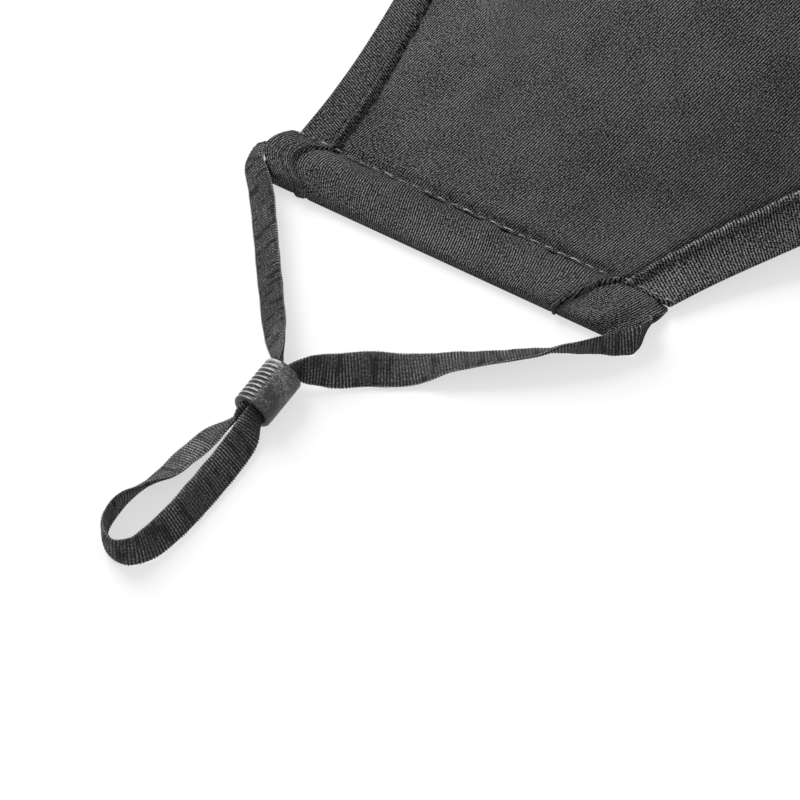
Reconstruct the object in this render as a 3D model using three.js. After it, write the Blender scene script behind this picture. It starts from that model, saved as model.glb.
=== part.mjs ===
// Cloth face mask lying open with its outside up, and an adjustable elastic strap at each ear.
// Millimetres. X runs from ear to ear, Y towards the nose, Z up, and the mask rests on Z = 0.
// The left side is worked out, and the right side is its mirror image.

import * as THREE from 'three';

// Outline of the mask, from the middle of the cloth
const halfNoseEdge = 103.5;
const halfChinEdge = 76.5;
const halfHeight = 62;
const noseLift = 19;
const chinLift = 10;
const crownRise = 27;
const sideClothHeight = 1.6;

// Cloth
const panelThickness = 1.2;
const bindingThickness = 1.6;
const noseBindingWidth = 6.4;
const chinBindingWidth = 8.2;
const ridgeWidth = 1.3;
const ridgeHeight = 0.7;
const bindingEdgeRound = 0.4;
const seamGap = 0.3;

// Elastic strap, one closed band through the casing and the adjuster
const strapWidth = 6;
const strapThickness = 1;
const strapReach = 84;
const pinchedShare = 0.55;
const strandGap = 0.6;

// Casing that holds each strap, a channel folded from the side of the mask. The plays are the
// room on each side of the strap, and the flares are how far the mouths gape for it.
const casingWall = 1;
const casingSidePlay = 1.2;
const casingHeightPlay = 0.35;
const noseMouthFlare = 1.9;
const chinMouthFlare = 1.5;
const noseMouthBulge = 2.6;
const chinMouthBulge = 0.4;
const chinMouthSlant = 8;
const casingWidth = strapWidth + 2 * (casingWall + casingSidePlay);
const casingHeight = strapThickness + 2 * (casingWall + casingHeightPlay);

// Ribbed cylinder that slides on the two strands
const adjusterLength = 10;
const adjusterWall = 1.2;
const strandClearance = 0.4;
const pinchedWidth = pinchedShare * strapWidth;
const strandSpacing = strapThickness + strandGap;
const adjusterBoreRadius = Math.hypot(pinchedWidth, strandSpacing + strapThickness) / 2 + strandClearance;
const adjusterRadius = adjusterBoreRadius + adjusterWall;
const adjusterOutShare = 0.545;
const adjusterNosewardShare = 0.376;
const adjusterTurn = -5;
const ribCount = 9;
const ribDepth = 0.3;
const adjusterEndRound = 0.5;

// Fineness of the meshes
const panelStationsAlong = 18;
const panelStationsAcross = 14;
const bindingStations = 24;
const strapStations = 130;
const adjusterSides = 16;
const casingSides = 16;
const arcSamples = 60;

// A named-column view of a table, one object for each row.
function table(columns, rows) {
  return rows.map((row) => Object.fromEntries(columns.map((name, i) => [name, row[i]])));
}

// Sections of the mask from the side stitching (along 0) to the centre seam (along 1). nose and
// chin are shares of halfHeight, and the lifts and the crown are shares of their named sizes.
const maskSections = table(['along', 'nose', 'chin', 'noseRise', 'chinRise', 'crown'], [
  [0.0, 0.411, 0.735, 0.0, 0.0, 0.0],
  [0.1, 0.456, 0.762, 0.05, 0.08, 0.1],
  [0.2, 0.508, 0.795, 0.14, 0.16, 0.24],
  [0.35, 0.6, 0.85, 0.32, 0.32, 0.46],
  [0.5, 0.704, 0.9, 0.52, 0.52, 0.65],
  [0.7, 0.845, 0.955, 0.78, 0.78, 0.85],
  [0.85, 0.94, 0.983, 0.93, 0.93, 0.95],
  [1.0, 1.0, 1.0, 1.0, 1.0, 1.0],
]);

// Rings of the casing. inset is the distance from the mouth as a share of the binding there,
// mouth the share kept of the mouth's bulge and slant, flare the share of its height, and ridge
// says where the binding's ridge crosses over.
const casingMouthRings = table(['inset', 'mouth', 'flare', 'ridge'], [
  [0.0, 1.0, 1.0, 0],
  [0.35, 1.0, 0.8, 0],
  [1.0, 0.95, 0.42, 0],
  [1.06, 0.93, 0.4, 1],
  [1.17, 0.9, 0.36, 1],
  [1.23, 0.88, 0.32, 0],
  [1.8, 0.5, 0.1, 0],
]);

// Route of the strap's middle outside the casing and the adjuster. out is a share of strapReach
// from the casing's centre line, and noseward a share of half the side's length. The width lies
// along a line at bearing degrees from straight out, turning towards the chin, and its far edge
// is raised by lean degrees. lift, the height of the lower edge above the surface that the mask
// rests on, and width are shares of strapWidth.
const routeColumns = ['out', 'noseward', 'lift', 'bearing', 'lean', 'width'];
const upperRun = table(routeColumns, [
  [0.0, 0.97, 0.26, 4, 5, 0.92],
  [0.0, 1.09, 0.19, 24, 22, 0.88],
  [0.014, 1.13, 0.12, 58, 35, 0.92],
  [0.054, 1.095, 0.06, 89, 40, 1],
  [0.106, 0.99, 0.03, 104, 45, 1],
  [0.2, 0.834, 0.02, 117, 47, 1],
  [0.325, 0.641, 0.02, 121, 48, 1],
  [0.4, 0.524, 0.08, 121, 52, 0.95],
  [0.454, 0.436, 0.2, 111, 68, 0.75],
]);
const smallLoop = table(routeColumns, [
  [0.638, 0.446, 0.18, 74, 62, 0.72],
  [0.685, 0.502, 0.08, 69, 38, 0.95],
  [0.742, 0.541, 0.05, 69, 42, 1],
  [0.799, 0.576, 0.02, 69, 66, 1],
  [0.861, 0.628, 0.02, 71, 86, 1],
  [0.926, 0.67, 0.02, 89, 90, 1],
  [0.99, 0.652, 0.02, 119, 90, 1],
  [1.022, 0.578, 0.02, 159, 88, 1],
  [1.011, 0.493, 0.02, -156, 72, 1],
  [0.963, 0.439, 0.02, -121, 56, 1],
  [0.885, 0.4, 0.02, -101, 50, 1],
  [0.802, 0.378, 0.02, -96, 46, 1],
  [0.722, 0.36, 0.03, -93, 46, 1],
  [0.657, 0.353, 0.15, -93, 62, 0.8],
]);
const lowerRun = table(routeColumns, [
  [0.451, 0.264, 0.17, -116, 64, 0.8],
  [0.424, 0.168, 0.04, -131, 46, 1],
  [0.386, 0.053, 0.02, -139, 38, 1],
  [0.337, -0.103, 0.02, -144, 6, 1],
  [0.284, -0.256, 0.02, -146, -24, 1],
  [0.231, -0.428, 0.02, -144, -38, 1],
  [0.186, -0.568, 0.02, -144, -46, 1],
  [0.141, -0.715, 0.02, -144, -70, 1],
  [0.1, -0.85, 0.02, -144, -86, 1],
  [0.07, -0.94, 0.02, 32, -76, 1],
  [0.042, -0.995, 0.05, 24, -58, 1],
  [0.015, -0.975, 0.15, 12, -32, 0.9],
  [0.0, -0.85, 0.22, 3, -6, 0.9],
]);

// A smooth curve through one column of a table, read at a share of the way along it.
function columnCurve(rows, key, name) {
  const places = rows.map((row) => row[key]);
  const values = rows.map((row) => row[name]);
  const curve = new THREE.CubicInterpolant(places, values, 1);
  return (at) => curve.evaluate(at)[0];
}

const noseAt = columnCurve(maskSections, 'along', 'nose');
const chinAt = columnCurve(maskSections, 'along', 'chin');
const noseRiseAt = columnCurve(maskSections, 'along', 'noseRise');
const chinRiseAt = columnCurve(maskSections, 'along', 'chinRise');
const crownAt = columnCurve(maskSections, 'along', 'crown');

function noseEdge(along) {
  const x = -halfNoseEdge * (1 - along);
  return new THREE.Vector3(x, halfHeight * noseAt(along), sideClothHeight + noseLift * noseRiseAt(along));
}

function chinEdge(along) {
  const x = -halfChinEdge * (1 - along);
  return new THREE.Vector3(x, -halfHeight * chinAt(along), sideClothHeight + chinLift * chinRiseAt(along));
}

// Middle of the cloth: across is 0 on the chin edge and 1 on the nose edge.
function clothPoint(along, across) {
  const point = new THREE.Vector3().lerpVectors(chinEdge(along), noseEdge(along), across);
  point.z += crownRise * crownAt(along) * Math.sin(Math.PI * across ** 0.95);
  return point;
}

function clothNormal(along, across) {
  const step = 0.004;
  const nearSeam = along > 1 - step;
  const alongStart = Math.max(0, along - step);
  const alongEnd = Math.min(1, along + step);
  const acrossStart = Math.max(0, across - step);
  const acrossEnd = Math.min(1, across + step);
  const tangentAlong = clothPoint(alongEnd, across).sub(clothPoint(alongStart, across));
  const tangentAcross = clothPoint(along, acrossEnd).sub(clothPoint(along, acrossStart));
  const normal = tangentAlong.cross(tangentAcross);
  if (nearSeam) {
    normal.x = 0;
  }
  return normal.normalize();
}

// One section of the cloth, read by the distance along the cloth from an edge.
function clothSection(along) {
  const points = [];
  const lengths = [0];
  for (let i = 0; i <= arcSamples; i += 1) {
    points.push(clothPoint(along, i / arcSamples));
  }
  for (let i = 1; i <= arcSamples; i += 1) {
    lengths.push(lengths[i - 1] + points[i].distanceTo(points[i - 1]));
  }
  const total = lengths[arcSamples];
  function acrossAt(distance) {
    let i = 1;
    while (i < arcSamples && lengths[i] < distance) {
      i += 1;
    }
    const share = (distance - lengths[i - 1]) / (lengths[i] - lengths[i - 1]);
    return (i - 1 + share) / arcSamples;
  }
  return { total, acrossAt };
}

// A point at a height above the middle of the cloth.
function abovePoint(along, across, height) {
  return clothPoint(along, across).addScaledVector(clothNormal(along, across), height);
}

function meshFrom(points, triangles) {
  const geometry = new THREE.BufferGeometry();
  geometry.setAttribute('position', new THREE.Float32BufferAttribute(points.flatMap((p) => [p.x, p.y, p.z]), 3));
  geometry.setIndex(triangles.flat());
  return geometry;
}

// Turns the mesh outside out when its triangles face inwards.
function facedOutwards(geometry) {
  const position = geometry.getAttribute('position');
  const index = geometry.getIndex();
  const corner = [new THREE.Vector3(), new THREE.Vector3(), new THREE.Vector3()];
  let volume = 0;
  for (let i = 0; i < index.count; i += 3) {
    corner.forEach((vector, j) => vector.fromBufferAttribute(position, index.getX(i + j)));
    volume += corner[0].dot(corner[1].cross(corner[2]));
  }
  if (volume < 0) {
    for (let i = 0; i < index.count; i += 3) {
      const swapped = index.getX(i + 1);
      index.setX(i + 1, index.getX(i + 2));
      index.setX(i + 2, swapped);
    }
  }
  return geometry;
}

// Side faces between neighbouring rings of a loft. A closed loft joins its last ring to its first.
function sideFaces(ringCount, ringSize, closed, first = 0, flipped = false) {
  const faces = [];
  const bands = closed ? ringCount : ringCount - 1;
  for (let i = 0; i < bands; i += 1) {
    for (let j = 0; j < ringSize; j += 1) {
      const a = first + i * ringSize + j;
      const b = first + i * ringSize + ((j + 1) % ringSize);
      const c = first + ((i + 1) % ringCount) * ringSize + ((j + 1) % ringSize);
      const d = first + ((i + 1) % ringCount) * ringSize + j;
      const pair = flipped ? [[a, c, b], [a, d, c]] : [[a, b, c], [a, c, d]];
      faces.push(...pair);
    }
  }
  return faces;
}

// A loft through rings of points, with flat ends cut into triangles from the ring's own outline.
function cappedLoft(rings, outline) {
  const size = outline.length;
  const last = (rings.length - 1) * size;
  const cap = THREE.ShapeUtils.triangulateShape(outline, []);
  const faces = sideFaces(rings.length, size, false);
  const clockwise = THREE.ShapeUtils.isClockWise(outline);
  cap.forEach(([a, b, c]) => {
    faces.push(clockwise ? [a, b, c] : [a, c, b]);
    faces.push(clockwise ? [last + a, last + c, last + b] : [last + a, last + b, last + c]);
  });
  return facedOutwards(meshFrom(rings.flat(), faces));
}

// A grid of cloth, given its thickness on both sides of the middle surface.
function panelGeometry() {
  const startAlong = seamGap / halfNoseEdge;
  const endAlong = 1 - seamGap / 2 / halfChinEdge;
  const points = [];
  for (const height of [-panelThickness / 2, panelThickness / 2]) {
    for (let i = 0; i <= panelStationsAlong; i += 1) {
      const along = THREE.MathUtils.lerp(startAlong, endAlong, i / panelStationsAlong);
      const section = clothSection(along);
      const chinStart = chinBindingWidth + ridgeWidth + seamGap;
      const noseEnd = section.total - noseBindingWidth - ridgeWidth - seamGap;
      for (let j = 0; j <= panelStationsAcross; j += 1) {
        const distance = THREE.MathUtils.lerp(chinStart, noseEnd, j / panelStationsAcross);
        points.push(abovePoint(along, section.acrossAt(distance), height));
      }
    }
  }
  const across = panelStationsAcross + 1;
  const layer = across * (panelStationsAlong + 1);
  const faces = [];
  for (let i = 0; i < panelStationsAlong; i += 1) {
    for (let j = 0; j < panelStationsAcross; j += 1) {
      const a = i * across + j;
      const b = a + across;
      faces.push([a, a + 1, b + 1], [a, b + 1, b]);
      faces.push([layer + a, layer + b + 1, layer + a + 1], [layer + a, layer + b, layer + b + 1]);
    }
  }
  const border = [];
  for (let i = 0; i < panelStationsAlong; i += 1) {
    border.push(i * across);
  }
  for (let j = 0; j < panelStationsAcross; j += 1) {
    border.push(panelStationsAlong * across + j);
  }
  for (let i = panelStationsAlong; i > 0; i -= 1) {
    border.push(i * across + panelStationsAcross);
  }
  for (let j = panelStationsAcross; j > 0; j -= 1) {
    border.push(j);
  }
  border.forEach((a, i) => {
    const b = border[(i + 1) % border.length];
    faces.push([a, b, layer + b], [a, layer + b, layer + a]);
  });
  return facedOutwards(meshFrom(points, faces));
}

// Section of a binding: the distance from the mask's edge, and the height above the cloth's middle.
function bindingOutline(width) {
  const half = bindingThickness / 2;
  const round = bindingEdgeRound;
  return [
    new THREE.Vector2(0, round - half),
    new THREE.Vector2(0, half - round),
    new THREE.Vector2(round, half),
    new THREE.Vector2(width - ridgeWidth / 3, half),
    new THREE.Vector2(width, half - round),
    new THREE.Vector2(width + ridgeWidth / 4, half + ridgeHeight),
    new THREE.Vector2(width + ridgeWidth * 0.75, half + ridgeHeight),
    new THREE.Vector2(width + ridgeWidth, half),
    new THREE.Vector2(width + ridgeWidth, -half),
    new THREE.Vector2(round, -half),
  ];
}

// A binding runs from one casing over the centre seam to the other casing.
function bindingGeometry(width, fromNoseEdge) {
  const outline = bindingOutline(width);
  const startAlong = seamGap / (fromNoseEdge ? halfNoseEdge : halfChinEdge);
  const leftRings = [];
  for (let i = 0; i <= bindingStations; i += 1) {
    const along = THREE.MathUtils.lerp(startAlong, 1, i / bindingStations);
    const section = clothSection(along);
    leftRings.push(outline.map((corner) => {
      const distance = fromNoseEdge ? section.total - corner.x : corner.x;
      return abovePoint(along, section.acrossAt(distance), corner.y);
    }));
  }
  const rightRings = leftRings.slice(0, -1).reverse();
  const mirrored = rightRings.map((ring) => ring.map((p) => new THREE.Vector3(-p.x, p.y, p.z)));
  return cappedLoft([...leftRings, ...mirrored], outline);
}

// The casing's own directions: downSide runs along the side from nose to chin, and outward
// points away from the mask.
const sideNoseCorner = noseEdge(0);
const sideChinCorner = chinEdge(0);
const sideHalfLength = Math.hypot(sideNoseCorner.x - sideChinCorner.x, sideNoseCorner.y - sideChinCorner.y) / 2;
const downSide = new THREE.Vector3(
  sideChinCorner.x - sideNoseCorner.x,
  sideChinCorner.y - sideNoseCorner.y,
  0,
).normalize();
const outward = new THREE.Vector3(downSide.y, -downSide.x, 0);
const casingCentre = new THREE.Vector3()
  .addVectors(sideNoseCorner, sideChinCorner)
  .multiplyScalar(0.5)
  .setZ(0)
  .addScaledVector(outward, seamGap + casingWidth / 2);

function sidePoint(out, down, height) {
  return casingCentre.clone()
    .addScaledVector(outward, out)
    .addScaledVector(downSide, down)
    .setZ(height);
}

// Section of the casing: flat below, rounded above, as [out, height] pairs round the outline.
function casingOutline(height) {
  const outline = [];
  const flatBelow = -0.3;
  for (let i = 0; i < casingSides; i += 1) {
    const angle = (2 * Math.PI * i) / casingSides;
    const side = Math.cos(angle);
    const rise = Math.sin(angle);
    const out = (casingWidth / 2) * Math.sign(side) * Math.abs(side) ** 0.7;
    const share = rise < flatBelow ? -1 : Math.sign(rise) * Math.abs(rise) ** 0.7;
    outline.push([out, (height / 2) * (1 + share)]);
  }
  return outline;
}

// How far the mouth's outline reaches past the corner of the side, at a place across the casing.
function mouthReach(atNose, out) {
  const share = out / (casingWidth / 2);
  const bulge = (atNose ? noseMouthBulge : chinMouthBulge) * (1 - share ** 2);
  const slant = atNose ? 0 : (chinMouthSlant * (1 + share)) / 2;
  return bulge - slant;
}

function casingRings() {
  const noseRings = casingMouthRings.map((ring) => ({ ...ring, atNose: true }));
  const chinRings = casingMouthRings.map((ring) => ({ ...ring, atNose: false })).reverse();
  return [...noseRings, ...chinRings];
}

function casingGeometry() {
  const outside = [];
  const inside = [];
  const innerShare = (casingWidth / 2 - casingWall) / (casingWidth / 2);
  const rings = casingRings();
  rings.forEach(({ inset, mouth, flare, ridge, atNose }) => {
    const height = casingHeight + (atNose ? noseMouthFlare : chinMouthFlare) * flare;
    const fromMouth = inset * (atNose ? noseBindingWidth : chinBindingWidth);
    casingOutline(height).forEach(([out, level]) => {
      const reach = sideHalfLength - fromMouth + mouthReach(atNose, out) * mouth;
      const down = atNose ? -reach : reach;
      const raised = level > height / 2 ? level + ridge * ridgeHeight : level;
      const innerLevel = casingWall + (level * (height - 2 * casingWall)) / height;
      outside.push(sidePoint(out, down, raised));
      inside.push(sidePoint(out * innerShare, down, innerLevel));
    });
  });
  const innerFirst = outside.length;
  const last = (rings.length - 1) * casingSides;
  const faces = [
    ...sideFaces(rings.length, casingSides, false),
    ...sideFaces(rings.length, casingSides, false, innerFirst, true),
  ];
  for (let j = 0; j < casingSides; j += 1) {
    const k = (j + 1) % casingSides;
    faces.push([j, innerFirst + k, k], [j, innerFirst + j, innerFirst + k]);
    faces.push([last + j, last + k, innerFirst + last + k]);
    faces.push([last + j, innerFirst + last + k, innerFirst + last + j]);
  }
  return facedOutwards(meshFrom([...outside, ...inside], faces));
}

// The adjuster lies at shares of the strap's reach and of half the side's length, with its axis
// level and pointing away from the mask.
const adjusterCentre = sidePoint(
  adjusterOutShare * strapReach,
  -adjusterNosewardShare * sideHalfLength,
  adjusterRadius,
);
const adjusterAngle = THREE.MathUtils.degToRad(adjusterTurn);
const adjusterAxis = new THREE.Vector3()
  .addScaledVector(outward, Math.cos(adjusterAngle))
  .addScaledVector(downSide, Math.sin(adjusterAngle));
const adjusterSide = new THREE.Vector3(adjusterAxis.y, -adjusterAxis.x, 0);

function adjusterGeometry() {
  const half = adjusterLength / 2;
  const round = adjusterEndRound;
  const pitch = (adjusterLength - 2 * round) / ribCount;
  const profile = [
    new THREE.Vector2(adjusterBoreRadius, -half),
    new THREE.Vector2(adjusterRadius - round, -half),
  ];
  for (let i = 0; i < ribCount; i += 1) {
    const start = -half + round + i * pitch;
    profile.push(new THREE.Vector2(adjusterRadius - ribDepth, start));
    profile.push(new THREE.Vector2(adjusterRadius, start + pitch / 2));
  }
  profile.push(new THREE.Vector2(adjusterRadius - ribDepth, half - round));
  profile.push(new THREE.Vector2(adjusterRadius - round, half));
  profile.push(new THREE.Vector2(adjusterBoreRadius, half));
  const points = [];
  for (let i = 0; i < adjusterSides; i += 1) {
    const angle = (2 * Math.PI * (i + 0.5)) / adjusterSides;
    profile.forEach((corner) => {
      points.push(adjusterCentre.clone()
        .addScaledVector(adjusterAxis, corner.y)
        .addScaledVector(adjusterSide, corner.x * Math.cos(angle))
        .add(new THREE.Vector3(0, 0, corner.x * Math.sin(angle))));
    });
  }
  return facedOutwards(meshFrom(points, sideFaces(adjusterSides, profile.length, true)));
}

// A station of the strap: its middle, its width direction and half its width.
function routeStation(row) {
  const bearing = THREE.MathUtils.degToRad(row.bearing);
  const lean = THREE.MathUtils.degToRad(row.lean);
  const halfWidth = (row.width * strapWidth) / 2;
  const direction = new THREE.Vector3()
    .addScaledVector(outward, Math.cos(lean) * Math.cos(bearing))
    .addScaledVector(downSide, Math.cos(lean) * Math.sin(bearing))
    .setZ(Math.sin(lean));
  const resting = halfWidth * Math.abs(Math.sin(lean)) + (strapThickness / 2) * Math.cos(lean);
  const height = resting + row.lift * strapWidth;
  return {
    middle: sidePoint(row.out * strapReach, -row.noseward * sideHalfLength, height),
    direction,
    halfWidth,
  };
}

// The strap lies flat in the middle of the casing.
function casingStations(nosewardShares) {
  return nosewardShares.map((noseward) => ({
    middle: sidePoint(0, -noseward * sideHalfLength, casingHeight / 2),
    direction: outward.clone(),
    halfWidth: strapWidth / 2,
  }));
}

// The strand through the adjuster stands on edge beside the other strand.
function adjusterStations(side, leaving) {
  const end = adjusterLength / 2 + strandClearance;
  const places = leaving ? [-end, 0, end] : [end, 0, -end];
  return places.map((place) => ({
    middle: adjusterCentre.clone()
      .addScaledVector(adjusterAxis, place)
      .addScaledVector(adjusterSide, (side * strandSpacing) / 2),
    direction: new THREE.Vector3(0, 0, 1),
    halfWidth: pinchedWidth / 2,
  }));
}

function strapGeometry() {
  const stations = [
    ...casingStations([0, 0.65]),
    ...upperRun.map(routeStation),
    ...adjusterStations(1, true),
    ...smallLoop.map(routeStation),
    ...adjusterStations(-1, false),
    ...lowerRun.map(routeStation),
    ...casingStations([-0.6]),
  ];
  const middle = new THREE.CatmullRomCurve3(stations.map((s) => s.middle), true, 'centripetal');
  const direction = new THREE.CatmullRomCurve3(stations.map((s) => s.direction), true, 'catmullrom', 0.3);
  const width = new THREE.CatmullRomCurve3(
    stations.map((s) => new THREE.Vector3(s.halfWidth, 0, 0)), true, 'catmullrom', 0.3);
  const rings = strapPlaces(middle, stations.length).map((t) => {
    const tangent = middle.getTangent(t);
    const across = direction.getPoint(t).normalize();
    const face = new THREE.Vector3().crossVectors(tangent, across).normalize();
    const half = width.getPoint(t).x;
    const resting = half * Math.abs(across.z) + (strapThickness / 2) * Math.abs(face.z);
    const centre = middle.getPoint(t);
    centre.setZ(Math.max(centre.z, resting));
    return [[-1, -1], [1, -1], [1, 1], [-1, 1]].map(([a, b]) => centre.clone()
      .addScaledVector(across, a * half)
      .addScaledVector(face, (b * strapThickness) / 2));
  });
  return facedOutwards(meshFrom(rings.flat(), sideFaces(rings.length, 4, true)));
}

// Places along the strap's curve, evenly spaced by length.
function strapPlaces(curve, stationCount) {
  const samples = stationCount * 20;
  const lengths = [0];
  for (let i = 1; i <= samples; i += 1) {
    const step = curve.getPoint(i / samples).distanceTo(curve.getPoint((i - 1) / samples));
    lengths.push(lengths[i - 1] + step);
  }
  const places = [];
  let i = 1;
  for (let k = 0; k < strapStations; k += 1) {
    const wanted = (lengths[samples] * k) / strapStations;
    while (lengths[i] < wanted) {
      i += 1;
    }
    places.push((i - 1 + (wanted - lengths[i - 1]) / (lengths[i] - lengths[i - 1])) / samples);
  }
  return places;
}

// The right-hand copy of a left-hand piece.
function mirrorImage(geometry) {
  const copy = geometry.clone();
  copy.scale(-1, 1, 1);
  return facedOutwards(copy);
}

const cloth = () => new THREE.MeshStandardMaterial({ color: 0x454547, roughness: 0.92, metalness: 0 });
const bindingCloth = () => new THREE.MeshStandardMaterial({ color: 0x3f3f41, roughness: 0.9, metalness: 0 });
const elastic = () => new THREE.MeshStandardMaterial({ color: 0x343436, roughness: 0.88, metalness: 0 });
const softRubber = () => new THREE.MeshStandardMaterial({ color: 0x3a3a3b, roughness: 0.45, metalness: 0 });

const mask = new THREE.Group();

function addPiece(name, geometry, material) {
  const mesh = new THREE.Mesh(geometry, material);
  mesh.name = name;
  mask.add(mesh);
}

function addPair(name, geometry, material) {
  addPiece(`${name}_left`, geometry, material());
  addPiece(`${name}_right`, mirrorImage(geometry), material());
}

addPair('mask_panel', panelGeometry(), cloth);
addPiece('nose_edge_binding', bindingGeometry(noseBindingWidth, true), bindingCloth());
addPiece('chin_edge_binding', bindingGeometry(chinBindingWidth, false), bindingCloth());
addPair('strap_casing', casingGeometry(), cloth);
addPair('ear_strap', strapGeometry(), elastic);
addPair('strap_adjuster', adjusterGeometry(), softRubber);

export default mask;
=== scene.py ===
import math

import bmesh
import bpy
import numpy as np
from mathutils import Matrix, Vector
from mathutils.bvhtree import BVHTree


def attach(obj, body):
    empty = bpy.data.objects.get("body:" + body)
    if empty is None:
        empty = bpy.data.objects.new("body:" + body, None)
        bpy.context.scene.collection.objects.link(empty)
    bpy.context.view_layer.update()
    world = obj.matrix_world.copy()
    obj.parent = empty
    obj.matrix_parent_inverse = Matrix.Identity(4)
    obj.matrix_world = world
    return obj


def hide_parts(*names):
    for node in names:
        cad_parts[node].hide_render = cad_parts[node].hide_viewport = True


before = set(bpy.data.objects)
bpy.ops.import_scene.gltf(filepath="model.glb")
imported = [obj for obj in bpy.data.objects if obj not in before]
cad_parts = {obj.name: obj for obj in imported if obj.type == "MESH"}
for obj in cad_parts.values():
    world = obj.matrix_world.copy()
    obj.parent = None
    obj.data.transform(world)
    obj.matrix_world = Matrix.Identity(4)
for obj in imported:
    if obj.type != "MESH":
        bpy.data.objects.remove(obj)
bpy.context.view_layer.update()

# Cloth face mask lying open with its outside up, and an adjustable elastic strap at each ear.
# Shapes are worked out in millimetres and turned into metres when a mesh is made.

print("frame loaded:", sorted(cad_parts))


def throughPoints(places, values):
    # smooth curve through the values
    places = np.array(places, float)
    values = np.array(values, float)
    last = len(places) - 1

    def at(t):
        t = np.asarray(t, float)
        i = np.clip(np.searchsorted(places, t, side="right"), 1, last)
        t0, t1, v0, v1 = places[i - 1], places[i], values[i - 1], values[i]
        tp, vp = (np.where(i >= 2, a[np.maximum(i - 2, 0)], b) for a, b in ((places, t1), (values, v1)))
        tn, vn = (np.where(i < last, a[np.minimum(i + 1, last)], b) for a, b in ((places, t0), (values, v0)))
        step = t1 - t0
        wp, wn, p = 0.5 * step / (t0 - tp), 0.5 * step / (tn - t1), (t - t0) / step
        return (vp * (-wp * p ** 3 + 2 * wp * p ** 2 - wp * p)
                + v0 * ((1 + wp) * p ** 3 - (1.5 + 2 * wp) * p ** 2 - (0.5 - wp) * p + 1)
                + v1 * ((-1 - wn) * p ** 3 + (1.5 + wn) * p ** 2 + 0.5 * p)
                + vn * (wn * p ** 3 - wn * p ** 2))
    return at


def smooth(t):
    t = np.clip(t, 0, 1)
    return t * t * (3 - 2 * t)


def waves(s, period, seed):
    # uneven waves of about one period, between -1 and 1
    r = np.random.default_rng(seed)
    total = 0
    for share in (0.71, 1.0, 1.43, 2.3):
        total = total + np.sin(2 * math.pi * s / (period * share * r.uniform(0.93, 1.07)) + r.uniform(0, 6.28))
    return total / 4


def bumps(x, y, period, seed):
    # soft uneven swells over a surface, between -1 and 1
    r = np.random.default_rng(seed)
    total = 0
    for k in range(7):
        a = r.uniform(0, math.pi)
        f = 2 * math.pi / (period * r.uniform(0.7, 1.6))
        total = total + np.sin((x * math.cos(a) + y * math.sin(a)) * f + r.uniform(0, 6.28))
    return total / 7


def dip(x, width):
    return np.exp(-(x / width) ** 2)


def furrows(x, shapes):
    # soft ridges and furrows side by side, each with its height, place and width
    return sum(height * dip(x - place, width) for height, place, width in shapes)


def uvFrom(u, v):
    return np.stack(np.meshgrid(u, v, indexing="ij"), -1)


def makePiece(name, rings, closed, uvs, material, marks=None):
    # lofts rings[row, column] into one mesh, its last row joined to its first or else both ends capped;
    # uvs are the cloth's own millimetres, and its UV map is in centimetres
    rows, cols = rings.shape[:2]
    i, j = np.meshgrid(np.arange(rows if closed else rows - 1), np.arange(cols), indexing="ij")
    i, j = i.ravel(), j.ravel()
    corners = [(i, j), (i + 1, j), (i + 1, j + 1), (i, j + 1)]
    faces = np.stack([(a % rows) * cols + b % cols for a, b in corners], 1).tolist()
    uv = np.stack([uvs[a, b] for a, b in corners], 1).reshape(-1, 2).tolist()
    for row in () if closed else (0, rows - 1):
        for k in range(cols // 2 - 1):
            quad = [k, k + 1, cols - 2 - k, cols - 1 - k]
            faces.append([row * cols + c for c in quad])
            uv += [uvs[row, c].tolist() for c in quad]
    mesh = bpy.data.meshes.new(name)
    mesh.from_pydata((rings.reshape(-1, 3) * 0.001).tolist(), [], faces)
    layer = mesh.uv_layers.new(name="cloth")
    layer.data.foreach_set("uv", (np.array(uv) * 0.1).ravel())
    for mark, values in (marks or {}).items():
        attribute = mesh.attributes.new(mark, "FLOAT", "POINT")
        attribute.data.foreach_set("value", np.ascontiguousarray(values, np.float32).ravel())
    return finishPiece(name, mesh, material)


def placed(name, data):
    made = bpy.data.objects.new(name, data)
    bpy.context.scene.collection.objects.link(made)
    return made


def finishPiece(name, mesh, material):
    b = bmesh.new()
    b.from_mesh(mesh)
    bmesh.ops.recalc_face_normals(b, faces=b.faces[:])
    b.to_mesh(mesh)
    b.free()
    mesh.polygons.foreach_set("use_smooth", [True] * len(mesh.polygons))
    mesh.materials.append(material)
    return placed(name, mesh)


def mirrored(points):
    return points * np.array((-1.0, 1.0, 1.0))


def bothSides(kind, rings, closed, uvs, material, rightUvs=None, marks=None):
    # the left piece and its mirror image on the right
    return [makePiece("left_" + kind, rings, closed, uvs, material, marks),
            makePiece("right_" + kind, mirrored(rings), closed, uvs if rightUvs is None else rightUvs, material, marks)]


def unit(v):
    return v / np.maximum(np.linalg.norm(v, axis=-1, keepdims=True), 1e-9)


upward = np.array((0, 0, 1.0))


class Wire:
    # a node socket that Python can do sums with
    def __init__(self, graph, socket):
        self.graph, self.socket = graph, socket

    def maths(self, operation, *values):
        return self.graph.node("ShaderNodeMath", dict(enumerate(values)), operation=operation)

    def __add__(self, other): return self.maths("ADD", self, other)
    def __sub__(self, other): return self.maths("SUBTRACT", self, other)
    def __rsub__(self, other): return self.maths("SUBTRACT", other, self)
    def __mul__(self, other): return self.maths("MULTIPLY", self, other)
    def __neg__(self): return self.maths("MULTIPLY", self, -1.0)
    def sine(self): return self.maths("SINE", self)
    def above(self, low, high):
        return self.graph.node("ShaderNodeMapRange", {"Value": self, "From Min": low, "From Max": high},
                               clamp=True, interpolation_type="SMOOTHSTEP")


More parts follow.
